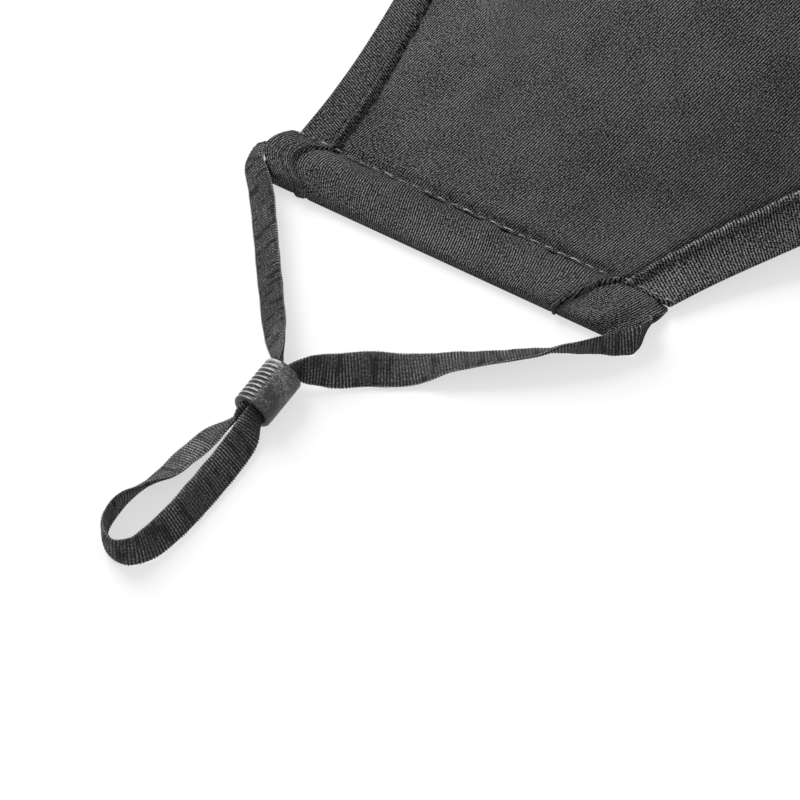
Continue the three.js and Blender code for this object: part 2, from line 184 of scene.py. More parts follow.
class Graph:
    def __init__(self, tree):
        self.tree = tree
        tree.nodes.clear()

    def node(self, kind, sockets=None, out=0, **settings):
        made = self.tree.nodes.new(kind)
        for key, value in settings.items():
            setattr(made, key, value)
        for key, value in (sockets or {}).items():
            socket = made.inputs[key]
            if isinstance(value, Wire):
                self.tree.links.new(value.socket, socket)
            else:
                socket.default_value = value
        return Wire(self, made.outputs[out])

    def outputs(self, wire, name):
        return Wire(self, wire.socket.node.outputs[name])


def newMaterial(name):
    material = bpy.data.materials.new(name)
    material.use_nodes = True
    return material, Graph(material.node_tree)


def finishMaterial(g, s, colour, speck, height, more=None):
    bump = g.node("ShaderNodeBump", {"Strength": s["bump"], "Distance": s["depth"], "Height": height})
    roughness = (speck - 0.5) * s["roughnessSpread"] + s["roughness"]
    shader = g.node("ShaderNodeBsdfPrincipled", {
        "Base Color": colour, "Roughness": roughness, "Normal": bump, "Specular IOR Level": s["shine"], **(more or {})})
    end = g.tree.nodes.new("ShaderNodeOutputMaterial")
    g.tree.links.new(shader.socket, end.inputs["Surface"])


def grey(v):
    return (v, v, v * 1.015, 1)  # a trace of blue


def mixTones(g, factor, dark, light):
    # sockets 6 and 7 are the two colours, output 2 the mixed one
    dark, light = (v if isinstance(v, Wire) else grey(v) for v in (dark, light))
    return g.node("ShaderNodeMix", {0: factor, 6: dark, 7: light}, out=2, data_type="RGBA")


def clothUv(g):
    # the cloth's own UV map, and its two directions apart
    uv = g.node("ShaderNodeUVMap", uv_map="cloth")
    parts = g.node("ShaderNodeSeparateXYZ", {"Vector": uv})
    return uv, g.outputs(parts, "X"), g.outputs(parts, "Y")


def flatNoise(g, uv, scale, detail, roughness=0.5):
    return g.node("ShaderNodeTexNoise", {"Vector": uv, "Scale": scale, "Detail": detail, "Roughness": roughness},
                  noise_dimensions="2D")


def solidNoise(g, scale, detail):
    place = g.node("ShaderNodeTexCoord", out="Object")
    return g.node("ShaderNodeTexNoise", {"Vector": place, "Scale": scale, "Detail": detail})


def perCm(pitch):
    # radians in a centimetre for a pitch in millimetres
    return 2 * math.pi * 10 / pitch


def ridgesOf(wave):
    return wave.sine() * 0.5 + 0.5


twillCloth = {
    "line": 0.47, "lineTurn": 87, "yarn": 0.36, "lineWander": 2.2, "yarnWander": 4.0, "yarnShift": 2.2,
    "lineShare": 0.3, "clearShare": 0.3, "yarnShare": 0.2, "speckShare": 2.1, "patchShare": 0.14,
    "wanderScale": 1.6, "clearScale": 1.7, "clearRange": (0.2, 0.8), "patchScale": 0.7,
    "speckScale": 33.0, "speckGrain": 0.75, "dark": 0.001, "light": 0.24, "toneRange": (-0.08, 0.38),
    "bump": 1.0, "depth": 0.00036, "roughness": 0.8, "roughnessSpread": 0.12, "shine": 0.1,
}
bindingCloth = {**twillCloth, "line": 0.46, "lineTurn": 23, "yarn": 0.38, "light": 0.19, "speckScale": 26.0,
                "depth": 0.00032, "roughness": 0.82}


def clothMaterial(name, s):
    # a fine twill: diagonal lines broken up by the yarns
    material, g = newMaterial(name)
    uv, u, v = clothUv(g)
    wander = flatNoise(g, uv, s["wanderScale"], 1.0)
    turn = math.radians(s["lineTurn"])
    lines = ridgesOf((u * math.cos(turn) + v * math.sin(turn)) * perCm(s["line"]) + wander * s["lineWander"])
    alongLines = (u * math.sin(turn) - v * math.cos(turn)) * perCm(s["yarn"])
    yarns = ridgesOf(alongLines + lines * s["yarnShift"] + wander * s["yarnWander"])
    speck = flatNoise(g, uv, s["speckScale"], 4.0, s["speckGrain"])
    patchy = flatNoise(g, uv, s["patchScale"], 2.0)
    clear = flatNoise(g, uv, s["clearScale"], 1.0).above(*s["clearRange"])
    weave = (lines - 0.5) * (clear * s["clearShare"] + s["lineShare"]) + (yarns - 0.5) * s["yarnShare"]
    weave = weave + (speck - 0.5) * s["speckShare"]
    tone = weave + (patchy - 0.5) * s["patchShare"]
    colour = mixTones(g, tone.above(*s["toneRange"]), s["dark"], s["light"])
    finishMaterial(g, s, colour, speck, weave)
    return material


elasticLooks = {
    "rib": 0.56, "wale": 0.8, "waleWander": 9.0, "wanderScale": 4.0, "speckScale": 30.0, "speckGrain": 0.8,
    "ribShare": 0.3, "livelyShare": 0.5, "waleShare": 0.14, "speckShare": 2.6,
    "livelyScale": 1.1, "livelyRange": (0.3, 0.72),
    # creases lie across the band at a slant, with painted shade in them, most of all between these centimetres along
    # it, where the band is also painted darker as shade
    "creaseTurn": 52, "creaseStretch": (7.5, 1.5, 1), "creaseRange": (0.52, 0.72), "creaseShare": 0.3,
    "creasedFrom": (3.8, 4.0), "creasedTo": (8.1, 8.6), "creasedShare": 0.6, "creasedShade": 0.16,
    "dark": 0.016, "light": 0.17, "shadeRange": (-0.32, 0.6),
    # glint is the pale colour painted on the brightest loops as a highlight
    "glint": 0.36, "glintRange": (0.45, 0.85), "livelyGlint": 0.25,
    "bump": 1.0, "depth": 0.00028, "roughness": 0.68, "roughnessSpread": 0.2, "shine": 0.14,
}


def elasticMaterial(name, s):
    # knitted elastic, u along the band and v across it: ribs, with painted highlights on loops here and there
    material, g = newMaterial(name)
    uv, u, v = clothUv(g)
    wander = flatNoise(g, uv, s["wanderScale"], 2.0)
    ribs = ridgesOf(u * perCm(s["rib"]))
    wales = ridgesOf(v * perCm(s["wale"]) + wander * s["waleWander"])
    speck = flatNoise(g, uv, s["speckScale"], 4.0, s["speckGrain"])
    # lively patches, where the ribs stand out more and the painted highlights are stronger
    lively = flatNoise(g, uv, s["livelyScale"], 2.0).above(*s["livelyRange"])
    rotation = (0, 0, math.radians(s["creaseTurn"]))
    slant = g.node("ShaderNodeMapping", {"Vector": uv, "Rotation": rotation, "Scale": s["creaseStretch"]})
    creases = flatNoise(g, slant, 1.0, 2.0).above(*s["creaseRange"])
    creasedShadedStretch = u.above(*s["creasedFrom"]) * (1 - u.above(*s["creasedTo"]))
    weave = (ribs - 0.5) * (lively * s["livelyShare"] + s["ribShare"]) + (wales - 0.5) * s["waleShare"]
    weave = weave + (speck - 0.5) * s["speckShare"]
    # painted shade: the creases darken the colour as well as the bump, and the creased stretch is darkened overall
    weave = weave - creases * (creasedShadedStretch * s["creasedShare"] + s["creaseShare"]) - creasedShadedStretch * s["creasedShade"]
    shade = mixTones(g, weave.above(*s["shadeRange"]), s["dark"], s["light"])
    # painted highlights: the brightest loops, more of them in the lively patches, get the pale glint colour
    glints = (weave + lively * s["livelyGlint"]).above(*s["glintRange"])
    colour = mixTones(g, glints, shade, s["glint"])
    finishMaterial(g, s, colour, speck, weave)
    return material


rubberLooks = {
    # crest is the pale colour painted on the rib crests as a highlight
    "base": 0.004, "worn": 0.02, "wornRange": (0.35, 0.7), "crest": 0.22, "crestHighlightRange": (0.45, 1.1),
    "dust": 0.12, "dustRange": (0.62, 0.8), "fineScale": 2600.0, "broadScale": 260.0,
    "bump": 0.7, "depth": 0.00008, "roughness": 0.4, "roughnessSpread": 0.25, "shine": 0.45,
}


def rubberMaterial(name, s):
    # soft moulded rubber, satin, with pale painted highlights on its rib crests and dusty in places
    material, g = newMaterial(name)
    crest = g.node("ShaderNodeAttribute", out="Fac", attribute_name="crest")
    fine, broad = solidNoise(g, s["fineScale"], 3.0), solidNoise(g, s["broadScale"], 3.0)
    plain = mixTones(g, broad.above(*s["wornRange"]), s["base"], s["worn"])
    # painted highlight: the rib crests get the pale crest colour
    paintedCrestHighlight = (crest + (fine - 0.5) * 0.7 + (broad - 0.5) * 0.5).above(*s["crestHighlightRange"])
    dusty = (fine * 0.7 + broad * 0.5).above(*s["dustRange"])
    colour = mixTones(g, paintedCrestHighlight, mixTones(g, dusty, plain, s["dust"]), s["crest"])
    finishMaterial(g, s, colour, broad, fine + broad * 0.8)
    return material


threadLooks = {
    "fibreScale": 4200.0, "patchScale": 500.0, "toneRange": (0.3, 0.8),
    "bump": 0.6, "depth": 0.00005, "roughness": 0.5, "roughnessSpread": 0.2, "shine": 0.5, "sheen": 0.2,
}


def threadMaterial(name, s):
    # spun thread, its fibres and its paler places
    material, g = newMaterial(name)
    fibres, patchy = solidNoise(g, s["fibreScale"], 2.0), solidNoise(g, s["patchScale"], 2.0)
    colour = mixTones(g, (fibres * 0.6 + patchy * 0.5).above(*s["toneRange"]), s["dark"], s["light"])
    finishMaterial(g, s, colour, fibres, fibres, {"Sheen Weight": s["sheen"]})
    return material


bodyFinish = clothMaterial("bodyTwill", twillCloth)
# painted light: the casing's twill is painted a little lighter than the body's, and the chin binding's weave lighter
# than the nose binding's, lit copies of the same cloths
casingFinish = clothMaterial("casingTwill", {**twillCloth, "lineTurn": 88, "light": 0.27})
noseFinish = clothMaterial("noseBindingWeave", bindingCloth)
chinFinish = clothMaterial("chinBindingWeave", {**bindingCloth, "lineTurn": 152, "light": 0.3})
elasticFinish = elasticMaterial("knittedElastic", elasticLooks)
rubberFinish = rubberMaterial("softRubber", rubberLooks)
darkThread = threadMaterial("darkThread", {**threadLooks, "dark": 0.006, "light": 0.07})
paleThread = threadMaterial("paleThread", {**threadLooks, "dark": 0.015, "light": 0.3})
picotThread = threadMaterial("picotThread", {**threadLooks, "dark": 0.01, "light": 0.24})
print("finishes made")


maskShape = {
    "halfNoseEdge": 103.5, "halfChinEdge": 76.5, "halfHeight": 62.0,
    "noseLift": 19.0, "chinLift": 10.0, "crownRise": 27.0, "crownPower": 0.95, "sideHeight": 1.6,
    "halfCloth": 0.6, "noseBinding": 6.4, "chinBinding": 8.2, "ridge": 1.3, "seamFrom": 0.985, "seamReach": 0.012,
    # share along, nose edge, chin edge, nose rise, chin rise, crown
    "sections": [
        (0.0, 0.411, 0.735, 0.0, 0.0, 0.0), (0.1, 0.456, 0.762, 0.05, 0.08, 0.1),
        (0.2, 0.508, 0.795, 0.14, 0.16, 0.24), (0.35, 0.6, 0.85, 0.32, 0.32, 0.46),
        (0.5, 0.704, 0.9, 0.52, 0.52, 0.65), (0.7, 0.845, 0.955, 0.78, 0.78, 0.85),
        (0.85, 0.94, 0.983, 0.93, 0.93, 0.95), (1.0, 1.0, 1.0, 1.0, 1.0, 1.0),
    ],
}
sectionColumns = list(zip(*maskShape["sections"]))
noseAt, chinAt, noseRiseAt, chinRiseAt, crownAt = (throughPoints(sectionColumns[0], c) for c in sectionColumns[1:])


def noseEdge(along):
    m = maskShape
    return np.stack([-m["halfNoseEdge"] * (1 - along), m["halfHeight"] * noseAt(along),
                     m["sideHeight"] + m["noseLift"] * noseRiseAt(along)], -1)


def chinEdge(along):
    m = maskShape
    return np.stack([-m["halfChinEdge"] * (1 - along), -m["halfHeight"] * chinAt(along),
                     m["sideHeight"] + m["chinLift"] * chinRiseAt(along)], -1)


def clothPoint(along, across):
    # middle of the cloth, across from the chin edge (0) to the nose edge (1)
    m = maskShape
    a, b = chinEdge(along), noseEdge(along)
    p = a + (b - a) * across[..., None]
    p[..., 2] += m["crownRise"] * crownAt(along) * np.sin(math.pi * np.clip(across, 0, 1) ** m["crownPower"])
    return p


def clothNormal(along, across, near=0.004):
    a0, a1 = np.clip(along - near, 0, 1), np.clip(along + near, 0, 1)
    c0, c1 = np.clip(across - near, 0, 1), np.clip(across + near, 0, 1)
    n = unit(np.cross(clothPoint(a1, across) - clothPoint(a0, across), clothPoint(along, c1) - clothPoint(along, c0)))
    # at the centre seam the normal lies in the plane between the halves
    n[..., 0] *= 1 - smooth((along - maskShape["seamFrom"]) / maskShape["seamReach"])
    return unit(n)


def edgeRun(points):
    return np.concatenate([[0], np.cumsum(np.linalg.norm(np.diff(points, axis=0), axis=1))])


def clothRuns(along, count=161):
    # the run of the cloth from the chin edge at each station, and a function that turns runs into across
    fine = np.linspace(0, 1, count)
    pts = clothPoint(np.repeat(along[:, None], count, 1), np.repeat(fine[None], len(along), 0))
    run = np.stack([edgeRun(line) for line in pts])
    return run, lambda d: np.stack([np.interp(d[k], run[k], fine) for k in range(len(along))])


panelLooks = {
    "stations": 190, "columns": 140, "lap": 0.35, "pucker": 0.34, "puckerReach": 4.2, "underShare": 0.6,
    # beside each seam: pitch of the ripples, share of the pucker, share of its reach, seed
    "nose": (3.6, 1.0, 1.0, 11), "chin": (4.1, 1.0, 1.0, 12), "side": (3.4, 0.7, 0.8, 13), "seam": (4.4, 0.8, 1.2, 14),
    # height, pitch, seed
    "swells": [(0.3, 17, 21), (0.12, 7, 22)], "swellFrom": 9,
    # height, place, width
    "seamRows": [(-0.75, 0, 0.8), (-0.25, 2.4, 0.35)], "sideRows": [(-0.75, 0.7, 0.75), (0.22, 2.6, 1.3)],
    "edgeRows": [(-0.4, 0.5, 0.6)],
    "leastTop": 0.9, "leastUnder": 0.25, "seamGap": 0.02, "straightAt": 0.47, "rightShift": (3.1, 1.7),
}


def buildPanel(s):
    m = maskShape
    along = np.linspace(0, 1, s["stations"] + 1)
    run, acrossOf = clothRuns(along)
    start = m["chinBinding"] + m["ridge"] - s["lap"]
    end = run[:, -1:] - m["noseBinding"] - m["ridge"] + s["lap"]
    d = start + (end - start) * np.linspace(0, 1, s["columns"] + 1)
    across = acrossOf(d)
    a = np.repeat(along[:, None], d.shape[1], 1)
    mid, normal = clothPoint(a, across), clothNormal(a, across)
    x, y = mid[..., 0], mid[..., 1]
    fromSide = a * (-(noseEdge(np.zeros(1)) + chinEdge(np.zeros(1)))[0, 0] / 2)
    fromChin, fromNose, fromSeam = d - start, end - d, -x
    stitchRun = np.repeat(edgeRun(noseEdge(along))[:, None], d.shape[1], 1)
    ripple = 0
    for seam, away, place in (("nose", fromNose, stitchRun), ("chin", fromChin, stitchRun),
                              ("side", fromSide, d), ("seam", fromSeam, d)):
        pitch, share, reach, seed = s[seam]
        ripple = ripple + share * s["pucker"] * waves(place, pitch, seed) * np.exp(-away / (s["puckerReach"] * reach))
    swell = sum(height * bumps(x, y, pitch, seed) for height, pitch, seed in s["swells"])
    lift = (ripple + swell * smooth(fromSide / s["swellFrom"]) + furrows(fromSeam, s["seamRows"])
            + furrows(fromSide, s["sideRows"]) + (furrows(fromNose, s["edgeRows"]) + furrows(fromChin, s["edgeRows"])))
    top = mid + normal * (m["halfCloth"] + lift)[..., None]
    under = mid + normal * (-m["halfCloth"] + s["underShare"] * lift)[..., None]
    top[..., 2] = np.maximum(top[..., 2], s["leastTop"])
    under[..., 2] = np.maximum(under[..., 2], s["leastUnder"])
    top[-1, :, 0] = under[-1, :, 0] = -s["seamGap"]
    # the weave is cut straight: u along the middle line and v from it, round the dome
    middle = clothPoint(along, acrossOf(run[:, -1:] * s["straightAt"])[:, 0])
    u = np.repeat(edgeRun(middle)[:, None], d.shape[1], 1)
    v = d - np.array([np.interp(0, y[k], d[k]) for k in range(len(along))])[:, None]
    uv = np.stack([u, v], -1)
    return np.concatenate([top, under[:, ::-1]], 1), np.concatenate([uv, uv[:, ::-1], uv[:, :1]], 1)


panelRings, panelUv = buildPanel(panelLooks)
rightUv = panelUv * np.array((1, -1)) + np.array(panelLooks["rightShift"])
panels = bothSides("cloth", panelRings, False, panelUv, bodyFinish, rightUv)
print("cloth panels made")


bindingLooks = {
    "stations": 260, "half": 0.8, "bend": 0.75, "flatFrom": 1.15, "end": (1.5, 0.72), "leastHeight": 0.12,
    # columns of the fold, from the strip's stitched edge
    "fold": (-0.42, -0.2, 0.0, 0.16, 0.34, 0.6, 0.88, 1.1, 1.28),
    "ridgeHeight": 0.95, "ridgeAt": 0.62, "ridgeWidth": 1.25, "ridgePower": 0.55, "ridgeShares": (0.85, 0.3, 0.36),
    "stitchPitch": 2.1, "stitchWander": 1.4, "stitchInset": 0.22,
    "groove": 0.46, "grooveShares": (0.4, 0.75), "grooveWidth": 0.22,
    "pucker": 0.2, "puckerPitch": 3.7, "puckerReach": 1.7, "wobble": 0.2, "swell": 0.12, "seamDip": 0.3,
}


def bindingProfile(width, s):
    # distance from the mask's edge and height above the cloth's middle, over the top then under
    half, bend = s["half"], s["bend"]
    top = [(bend * (1 - math.cos(a)), half * math.sin(a)) for a in np.linspace(0, math.pi / 2, 6)]
    top += [(x, half) for x in np.linspace(s["flatFrom"], width - bend, 9)]
    top += [(width + x, half) for x in s["fold"]] + [(width + s["end"][0], half * s["end"][1])]
    roundAt = lambda x: math.sqrt(max(0, 1 - (1 - min(x, bend) / bend) ** 2))
    under = [(x, -half * roundAt(x)) for x, z in top]
    return np.array(top), np.array(under[::-1])


def buildBinding(fromNose, seed, s):
    width = maskShape["noseBinding" if fromNose else "chinBinding"]
    along = np.linspace(0, 1, s["stations"] + 1)
    run, acrossOf = clothRuns(along)
    top, under = bindingProfile(width, s)
    profile = np.concatenate([top, under])
    isTop = np.concatenate([np.ones(len(top)), np.zeros(len(under))])[None]
    d = np.repeat(profile[None, :, 0], len(along), 0)
    fromFold = d - width
    edge = edgeRun(noseEdge(along) if fromNose else chinEdge(along))[:, None]
    wobble = s["wobble"] * waves(edge, s["puckerPitch"] * 1.3, seed)
    x = d + wobble * smooth(fromFold + 1.2) * isTop
    # the stitches pull the strip down one by one, and its fold stands up beside them
    stitch = 0.5 + 0.5 * np.cos(2 * math.pi * edge / s["stitchPitch"] + s["stitchWander"] * waves(edge, 9, seed + 6))
    level, uneven, pulled = s["ridgeShares"]
    crest = np.cos(math.pi * np.clip((fromFold - s["ridgeAt"]) / s["ridgeWidth"], -0.5, 0.5))
    ridge = (s["ridgeHeight"] * (level + uneven * waves(edge, s["puckerPitch"], seed + 1) + pulled * stitch)
             * np.clip(crest, 0, 1) ** s["ridgePower"])
    level, pulled = s["grooveShares"]
    groove = -s["groove"] * (level + pulled * stitch) * dip(fromFold + s["stitchInset"], s["grooveWidth"])
    pucker = (s["pucker"] * waves(edge, s["puckerPitch"], seed + 2)
              * np.exp(-np.abs(fromFold + 0.2) / s["puckerReach"]) * (fromFold < 0))
    swell = s["swell"] * bumps(edge, d * 1.6, 8, seed + 3)
    lift = (ridge + groove + pucker + swell * smooth(d / 1.5)) * isTop
    across = acrossOf(run[:, -1:] - x if fromNose else x)
    a = np.repeat(along[:, None], d.shape[1], 1)
    pts = clothPoint(a, across) + clothNormal(a, across) * (profile[None, :, 1] + lift)[..., None]
    pts[..., 2] -= s["seamDip"] * (dip(pts[..., 0], 0.7) * isTop)
    pts[..., 2] = np.maximum(pts[..., 2], s["leastHeight"])
    pts[-1, :, 0] = 0
    rings = np.concatenate([pts, mirrored(pts[:-1][::-1])], 0)
    v = profile[:, 0]
    return rings, uvFrom(edgeRun(rings[:, 0]), np.append(v, v[0]))


bindings = []
for name, fromNose, seed, finish in (("nose_binding", True, 31, noseFinish), ("chin_binding", False, 41, chinFinish)):
    rings, uvs = buildBinding(fromNose, seed, bindingLooks)
    bindings.append(makePiece(name, rings, False, uvs, finish))
print("bindings made")


noseCorner, chinCorner = noseEdge(np.zeros(1))[0], chinEdge(np.zeros(1))[0]
downSide = unit(np.append((chinCorner - noseCorner)[:2], 0))
outward = np.array((downSide[1], -downSide[0], 0))
sideHalf = np.linalg.norm((chinCorner - noseCorner)[:2]) / 2
casingLooks = {
    "width": 10.4, "height": 3.7, "wall": 0.8, "lip": 0.28, "angles": 104, "stations": 290, "girthStation": 100,
    "outPower": 0.72, "topPower": 0.86, "flatBelow": -0.3, "leastWall": 0.3,
    "noseMouthFlare": 1.6, "chinMouthFlare": 0.4, "noseMouthBulge": 3.0, "noseMouthSkew": 0.4,
    "chinMouthBulge": 1.3, "chinMouthSlant": 7.2, "chinMouthInset": 0.3,
    # the chin mouth is pressed flat, and the side towards the cloth lies lower and reaches further in
    "chinPress": 0.36, "chinPressInwards": 0.2, "chinPressReach": 2.4, "chinRise": 0.55,
    "innerWidth": 3.0, "innerPress": 0.36, "innerReach": 0.95,
    # the bindings' folded ridges run over the casing: flat top, half width, place, crest, its place, its width
    "ridgeHeight": 1.1, "noseBand": (0.55, 1.0, 0.0, 0.35, -0.35, 0.45), "chinBand": (0.5, 0.8, -0.1, 0.4, -0.3, 0.4),
    # height, place, width
    "crease": 0.55, "noseCreases": [(1, 1.25, 0.24), (0.7, -1.25, 0.22)],
    "chinCreases": [(1, -1.15, 0.26), (0.5, 0.95, 0.22)],
    # height, pitch, stretch, seed
    "dents": [(0.4, 11, 1.0, 53), (0.2, 5, 1.4, 54)],
    "pucker": 0.4, "puckerPitch": 3.3, "puckerReach": 2.4, "groove": 0.75, "grooveReach": 0.75, "sag": 0.22,
}
casingCentre = np.append((noseCorner + chinCorner)[:2] / 2, 0) + outward * (0.3 + casingLooks["width"] / 2)
mouthFlareAt = throughPoints([0, 0.35, 1.0, 1.8, 2.6, 12], [1.0, 0.8, 0.42, 0.1, 0.0, 0.0])
mouthShareAt = throughPoints([0, 0.35, 1.0, 1.8, 3.0, 12], [1.0, 1.0, 0.95, 0.5, 0.0, 0.0])
noseRidgeInset = throughPoints([-6.2, -4.2, -2.0, 0.6, 3.0, 5.5], [7.6, 5.9, 4.9, 4.6, 5.0, 5.8])
chinRidgeInset = throughPoints([-6.4, -4.2, -2.0, 0.6, 3.0, 5.5], [9.3, 10.9, 12.6, 13.6, 14.2, 14.3])


def sidePoint(out, down, height):
    return casingCentre + outward * out[..., None] + downSide * down[..., None] + upward * height[..., None]


def foldedBand(line, flat, half, place, crest, crestPlace, crestWidth):
    return flat * smooth((half - np.abs(line - place)) / 0.4) + crest * dip(line - crestPlace, crestWidth)


def buildCasing(s):
    half = s["width"] / 2
    angle = np.linspace(0, 2 * math.pi, s["angles"], endpoint=False)
    side, rise = np.cos(angle)[:, None], np.sin(angle)[:, None]
    share = np.where(rise < s["flatBelow"], -1, np.sign(rise) * np.abs(rise) ** s["topPower"])
    # closer stations near the two mouths
    t = np.linspace(0, 1, s["stations"] + 1)[None]
    down = -sideHalf + 2 * sideHalf * (0.82 * t + 0.18 * smooth(t))
    out = np.repeat(half * np.sign(side) * np.abs(side) ** s["outPower"], t.shape[1], 1)
    across = out / half
    insetNose, insetChin = down + sideHalf, sideHalf - down
    noseMouth, chinMouth = insetNose / maskShape["noseBinding"], insetChin / maskShape["chinBinding"]
    bulge = s["noseMouthBulge"] * (1 - across ** 2) * (1 + s["noseMouthSkew"] * across) * mouthShareAt(noseMouth)
    chinReach = (s["chinMouthBulge"] * (1 - across ** 2) - s["chinMouthSlant"] * (1 + across) / 2
                 - s["chinMouthInset"] * (1 - across)) * mouthShareAt(chinMouth)
    down = down - bulge + chinReach
    height = (s["height"] + s["noseMouthFlare"] * mouthFlareAt(noseMouth)
              + s["chinMouthFlare"] * mouthFlareAt(chinMouth))
    inner = 1 - smooth((out + half) / s["innerWidth"])
    noseFade = smooth((insetNose + 0.6) / 3)
    mouthFade = noseFade * smooth(insetChin / 4)
    closing = 1 - (s["chinPress"] + s["chinPressInwards"] * smooth(-0.1 - across)) * dip(insetChin, s["chinPressReach"])
    pressed = 1 - s["innerPress"] * inner * noseFade * (1 - 0.45 * dip(insetChin, 9))
    z = height * closing * pressed / 2 * (1 + share) + s["chinRise"] * inner * dip(insetChin, 4) * (share < 0)
    out = out - s["innerReach"] * inner * mouthFade * (1 - 0.3 * (share < -0.5))
    noseLine = insetNose - noseRidgeInset(np.clip(out, -6.2, 5.5))
    chinLine = insetChin - chinRidgeInset(np.clip(out, -6.4, 5.5))
    ridge = s["ridgeHeight"] * (foldedBand(noseLine, *s["noseBand"]) * (1 + 0.2 * waves(out, 3.1, 51))
                                + foldedBand(chinLine, *s["chinBand"]) * (1 + 0.25 * waves(out, 2.9, 52)))
    crease = -s["crease"] * (furrows(noseLine, s["noseCreases"]) + furrows(chinLine, s["chinCreases"]))
    dents = sum(deep * bumps(down, out * stretch, pitch, seed) for deep, pitch, stretch, seed in s["dents"])
    pucker = s["pucker"] * waves(down, s["puckerPitch"], 55) * np.exp(-(out + half + 0.9) / s["puckerReach"])
    groove = -s["groove"] * np.exp(-(out + half + 0.95) / s["grooveReach"])
    sag = -s["sag"] * dip(down - 6, 9) * dip(out - 1, 3)
    z = z + smooth((share + 0.2) / 0.6) * (ridge + crease + dents * mouthFade + pucker
                                           + groove * smooth(insetNose / 2) + sag)
    # the ridges show in the outline of the outer side as well
    outerLift = (0.4 * ridge + 0.35 * crease) * smooth((across - 0.75) / 0.2)
    outer = sidePoint(out + outerLift, down, np.maximum(z, 0.0))
    innerZ = s["wall"] + (z / height) * (height - 2 * s["wall"])
    innerZ = np.where(share > 0, np.minimum(innerZ, z - s["leastWall"]), innerZ)
    hollow = sidePoint(out * ((half - s["wall"]) / half), down, innerZ)
    lips = [0.5 * (outer[:, end] + hollow[:, end]) + downSide * s["lip"] * sign
            for end, sign in ((slice(0, 1), -1), (slice(-1, None), 1))]
    loop = np.concatenate([lips[0], outer, lips[1], hollow[:, ::-1]], 1)
    station = s["girthStation"]
    girth = edgeRun(np.concatenate([outer[:, station], outer[:1, station]]))
    run = edgeRun(outer[len(angle) // 4])
    over = 0.3  # the lip's own share of the weave
    return loop, uvFrom(girth, np.concatenate([[-over], run, [run[-1] + over], run[::-1], [-over]]))


casingLoop, casingUv = buildCasing(casingLooks)
casings = bothSides("casing", casingLoop, True, casingUv, casingFinish)
print("casings made")


strapLooks = {
    "width": 6.0, "thickness": 0.95, "reach": 84.0, "pinched": 4.0, "spacing": 1.6, "samples": 2300, "faceColumns": 11,
    "rib": 0.56, "ribDepth": 0.13, "edgeSwell": 0.045, "leastHalf": 0.1, "curl": 0.12, "curlPitch": 9,
    "edgeCurl": 0.07, "edgeCurlPitch": 4.3, "underShift": 7,
}
adjusterLooks = {
    "length": 10.0, "radius": 3.7, "bore": 2.5, "outShare": 0.545, "nosewardShare": 0.376, "turn": -5.0, "sides": 96,
    "ribs": 8, "ribDepth": 0.42, "endRing": 1.1, "boreRound": 0.25, "squeeze": 0.012,
    # share of the pitch, share of the depth
    "ribShape": ((0.0, 1.0), (0.1, 0.9), (0.22, 0.3), (0.4, 0.03), (0.6, 0.0), (0.78, 0.3), (0.9, 0.9)),
    # below the radius, in from the end
    "firstEnd": ((0.55, 0.0), (0.2, 0.12), (0.02, 0.35), (0.0, 0.75)),
    "lastEnd": ((0.06, 0.8), (0.05, 0.4), (0.25, 0.1), (0.6, 0.0)),
    # the ribs stand out on the upper and outer part and fade out on the plain part below
    "ribbedTurn": 20, "plainShare": 0.06, "ribbedShare": 0.94, "ribbedFrom": 0.12, "ribbedOver": 0.38,
}
# out and noseward shares, lift as a share of the width, bearing and lean in degrees, width share
upperRun = [
    (0.0, 0.97, 0.26, 4, 8, 0.92), (-0.003, 1.07, 0.2, 20, 46, 0.8), (0.006, 1.11, 0.13, 48, 50, 0.84),
    (0.047, 1.095, 0.06, 82, 47, 0.93), (0.103, 0.985, 0.03, 104, 45, 1), (0.2, 0.834, 0.02, 117, 47, 1),
    (0.325, 0.641, 0.02, 121, 48, 1), (0.4, 0.524, 0.08, 121, 52, 1), (0.454, 0.436, 0.2, 111, 68, 0.82),
]
smallLoop = [
    (0.638, 0.446, 0.14, 74, 58, 0.82), (0.684, 0.497, 0.05, 69, 34, 0.98), (0.742, 0.532, 0.03, 69, 32, 1),
    (0.8, 0.565, 0.02, 69, 40, 1), (0.861, 0.622, 0.02, 71, 66, 1), (0.926, 0.67, 0.02, 89, 90, 1),
    (0.985, 0.65, 0.02, 119, 90, 1), (1.012, 0.578, 0.02, 159, 88, 1), (1.0, 0.495, 0.02, -156, 72, 1),
    (0.958, 0.439, 0.02, -121, 56, 1), (0.882, 0.4, 0.02, -101, 50, 1), (0.802, 0.378, 0.02, -96, 46, 1),
    (0.722, 0.36, 0.03, -93, 46, 1), (0.657, 0.353, 0.08, -93, 50, 1),
]
lowerRun = [
    (0.451, 0.264, 0.13, -116, 58, 0.92), (0.424, 0.168, 0.04, -131, 46, 1), (0.386, 0.053, 0.02, -139, 38, 1),
    (0.337, -0.103, 0.02, -144, 6, 1), (0.284, -0.256, 0.02, -146, -24, 1), (0.231, -0.428, 0.02, -144, -38, 1),
    (0.186, -0.568, 0.02, -144, -46, 1), (0.144, -0.7, 0.02, -144, -70, 1), (0.107, -0.815, 0.02, -144, -86, 1),
    (0.082, -0.89, 0.02, 8, -76, 1), (0.055, -0.95, 0.05, -2, -58, 1), (0.022, -0.95, 0.04, 0, -26, 0.85),
    (0.0, -0.85, 0.06, 0, -2, 0.85),
]
turn = math.radians(adjusterLooks["turn"])
adjusterAxis = outward * math.cos(turn) + downSide * math.sin(turn)
adjusterSide = np.array((adjusterAxis[1], -adjusterAxis[0], 0))
adjusterCentre = (casingCentre + outward * adjusterLooks["outShare"] * strapLooks["reach"]
                  - downSide * adjusterLooks["nosewardShare"] * sideHalf + upward * adjusterLooks["radius"])


